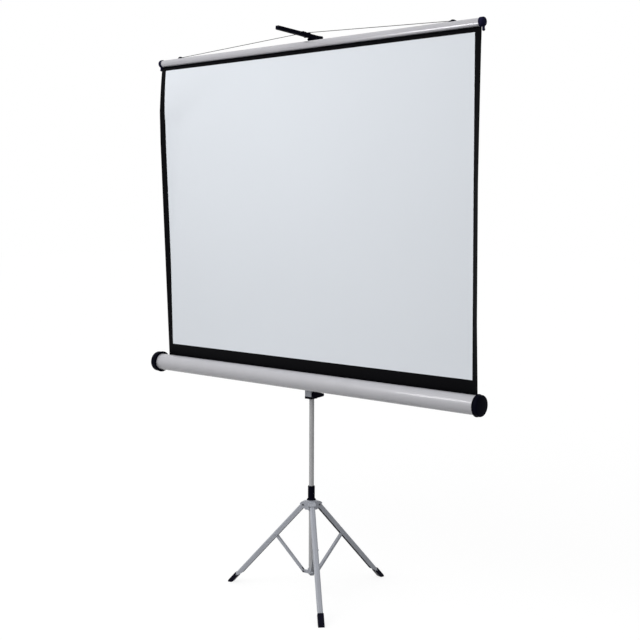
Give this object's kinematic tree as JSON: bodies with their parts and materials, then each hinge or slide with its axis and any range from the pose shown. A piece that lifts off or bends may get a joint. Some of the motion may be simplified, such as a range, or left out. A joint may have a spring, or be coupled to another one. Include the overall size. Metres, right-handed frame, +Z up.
{
  "type": "tripod projection screen",
  "caption": "Portable projection screen on a folding tripod: a white screen with black borders pulled up from a roller case and hung by a wire from a folding arm.",
  "frame": {"origin": "centre of the footprint's bounding box, on the floor", "axes": "+Z up, +X to the screen's right seen from the front, the screen faces -Y"},
  "size_m": [1.6266, 0.5996, 2.1243],
  "materials": {
    "satin_silver": "satin",
    "steel_grey": "semi-gloss",
    "bright_steel": "bright",
    "roller_steel": "dull",
    "black_plastic": "satin",
    "screen_cloth": "matte"
  },
  "bodies": {
    "stand": {"mast_tube": "steel_grey", "mast_plug": "black_plastic", "mast_top_bush": "black_plastic", "brace_collar": "steel_grey", "collar_rivet_1": "bright_steel", "collar_rivet_2": "bright_steel", "collar_rivet_3": "bright_steel"},
    "tripod_head": {"leg_hub": "steel_grey", "hub_sleeve": "black_plastic", "hub_rivet_1": "bright_steel", "hub_rivet_2": "bright_steel", "hub_rivet_3": "bright_steel"},
    "carriage": {"carriage_bracket": "steel_grey", "carriage_bush": "black_plastic", "lever_pin": "black_plastic", "lever_spring": "bright_steel", "case_pivot_bolt": "bright_steel"},
    "lever": {"release_lever": "black_plastic"},
    "case": {"case_saddle": "steel_grey", "case_tube": "satin_silver", "end_cap_left": "black_plastic", "end_cap_right": "black_plastic", "roller_axle_left": "bright_steel", "roller_axle_right": "bright_steel", "roller_spring": "bright_steel", "screen_fabric": "screen_cloth"},
    "roller": {"roller_tube": "roller_steel", "fabric_roll": "screen_cloth", "roller_plug_left": "black_plastic", "roller_plug_right": "black_plastic"},
    "slat": {"slat_tube": "satin_silver", "fabric_bead": "black_plastic", "slat_cap_left": "black_plastic", "slat_cap_right": "black_plastic", "wire_anchor_left": "black_plastic", "wire_anchor_right": "black_plastic", "hanging_wire": "bright_steel"},
    "rod": {"extension_rod": "bright_steel", "arm_knuckle": "black_plastic", "arm_pin": "black_plastic"},
    "arm": {"keystone_arm": "black_plastic"},
    "brace_1": {"brace_1": "steel_grey"},
    "leg_1": {"leg_1": "steel_grey", "foot_1": "black_plastic", "brace_rivet_1": "bright_steel"},
    "brace_2": {"brace_2": "steel_grey"},
    "leg_2": {"leg_2": "steel_grey", "foot_2": "black_plastic", "brace_rivet_2": "bright_steel"},
    "brace_3": {"brace_3": "steel_grey"},
    "leg_3": {"leg_3": "steel_grey", "foot_3": "black_plastic", "brace_rivet_3": "bright_steel"}
  },
  "joints": [
    {"name": "tripod_fold", "type": "hinge", "parent": "stand", "child": "brace_1", "pos_m": [-0.02353, -0.06163, 0.08519], "axis": [0.309, -0.9511, 0], "range_deg": [-41.7, 0]},
    {"name": "leg_1_fold", "type": "hinge", "parent": "brace_1", "child": "leg_1", "pos_m": [-0.13725, -0.09858, 0.21706], "axis": [0.309, -0.9511, 0], "range_deg": [0, 83.4]},
    {"name": "brace_2_fold", "type": "hinge", "parent": "stand", "child": "brace_2", "pos_m": [0.02729, -0.07243, 0.08519], "axis": [0.6691, 0.7431, 0], "range_deg": [-41.7, 0]},
    {"name": "leg_2_fold", "type": "hinge", "parent": "brace_2", "child": "leg_2", "pos_m": [0.11615, -0.15244, 0.21706], "axis": [0.6691, 0.7431, 0], "range_deg": [0, 83.4]},
    {"name": "brace_3_fold", "type": "hinge", "parent": "stand", "child": "brace_3", "pos_m": [0.01124, -0.02301, 0.08519], "axis": [-0.9781, 0.2079, 0], "range_deg": [-41.7, 0]},
    {"name": "leg_3_fold", "type": "hinge", "parent": "brace_3", "child": "leg_3", "pos_m": [0.0361, 0.09394, 0.21706], "axis": [-0.9781, 0.2079, 0], "range_deg": [0, 83.4]},
    {"name": "hub_on_leg", "type": "hinge", "parent": "leg_1", "child": "tripod_head", "pos_m": [-0.02353, -0.06163, 0.34892], "axis": [0.309, -0.9511, 0], "range_deg": [-41.7, 0]},
    {"name": "carriage_slide", "type": "slide", "parent": "stand", "child": "carriage", "axis": [0, 0, 1], "range_m": [0, 0.45]},
    {"name": "case_turn", "type": "hinge", "parent": "carriage", "child": "case", "pos_m": [0.005, -0.05236, 0.8367], "axis": [0, 1, 0], "range_deg": [-90, 0], "deforming": ["screen_fabric", "hanging_wire"]},
    {"name": "screen_pull", "type": "slide", "parent": "case", "child": "slat", "axis": [0, 0, 1], "range_m": [-1.16, 0], "deforming": ["screen_fabric", "hanging_wire"]},
    {"name": "rod_slide", "type": "slide", "parent": "carriage", "child": "rod", "axis": [0, 0, 1], "range_m": [-0.4, 0]},
    {"name": "roller_spin", "type": "hinge", "parent": "case", "child": "roller", "pos_m": [0.005, -0.11836, 0.8367], "axis": [1, 0, 0], "range_deg": [-3593, 0]},
    {"name": "arm_fold", "type": "hinge", "parent": "rod", "child": "arm", "pos_m": [0.005, -0.02036, 2.1056], "axis": [1, 0, 0], "range_deg": [-90, 0], "deforming": ["hanging_wire"]},
    {"name": "release_lever", "type": "hinge", "parent": "carriage", "child": "lever", "pos_m": [0.0263, -0.05936, 0.7795], "axis": [1, 0, 0], "range_deg": [0, 20], "stiffness_Nm_per_rad": 0.8, "springref_deg": -14.32}
  ],
  "couplings": [
    {"joint": "leg_1_fold", "follows": "tripod_fold", "ratio": -2},
    {"joint": "brace_2_fold", "follows": "tripod_fold", "ratio": 1},
    {"joint": "leg_2_fold", "follows": "tripod_fold", "ratio": -2},
    {"joint": "brace_3_fold", "follows": "tripod_fold", "ratio": 1},
    {"joint": "leg_3_fold", "follows": "tripod_fold", "ratio": -2},
    {"joint": "hub_on_leg", "follows": "tripod_fold", "ratio": 1},
    {"joint": "carriage_slide", "follows": "case_turn", "m_per_rad": -0.2864},
    {"joint": "screen_pull", "follows": "case_turn", "m_per_rad": 0.7384},
    {"joint": "rod_slide", "follows": "case_turn", "m_per_rad": 0.2546},
    {"joint": "roller_spin", "follows": "case_turn", "ratio": 39.91}
  ]
}
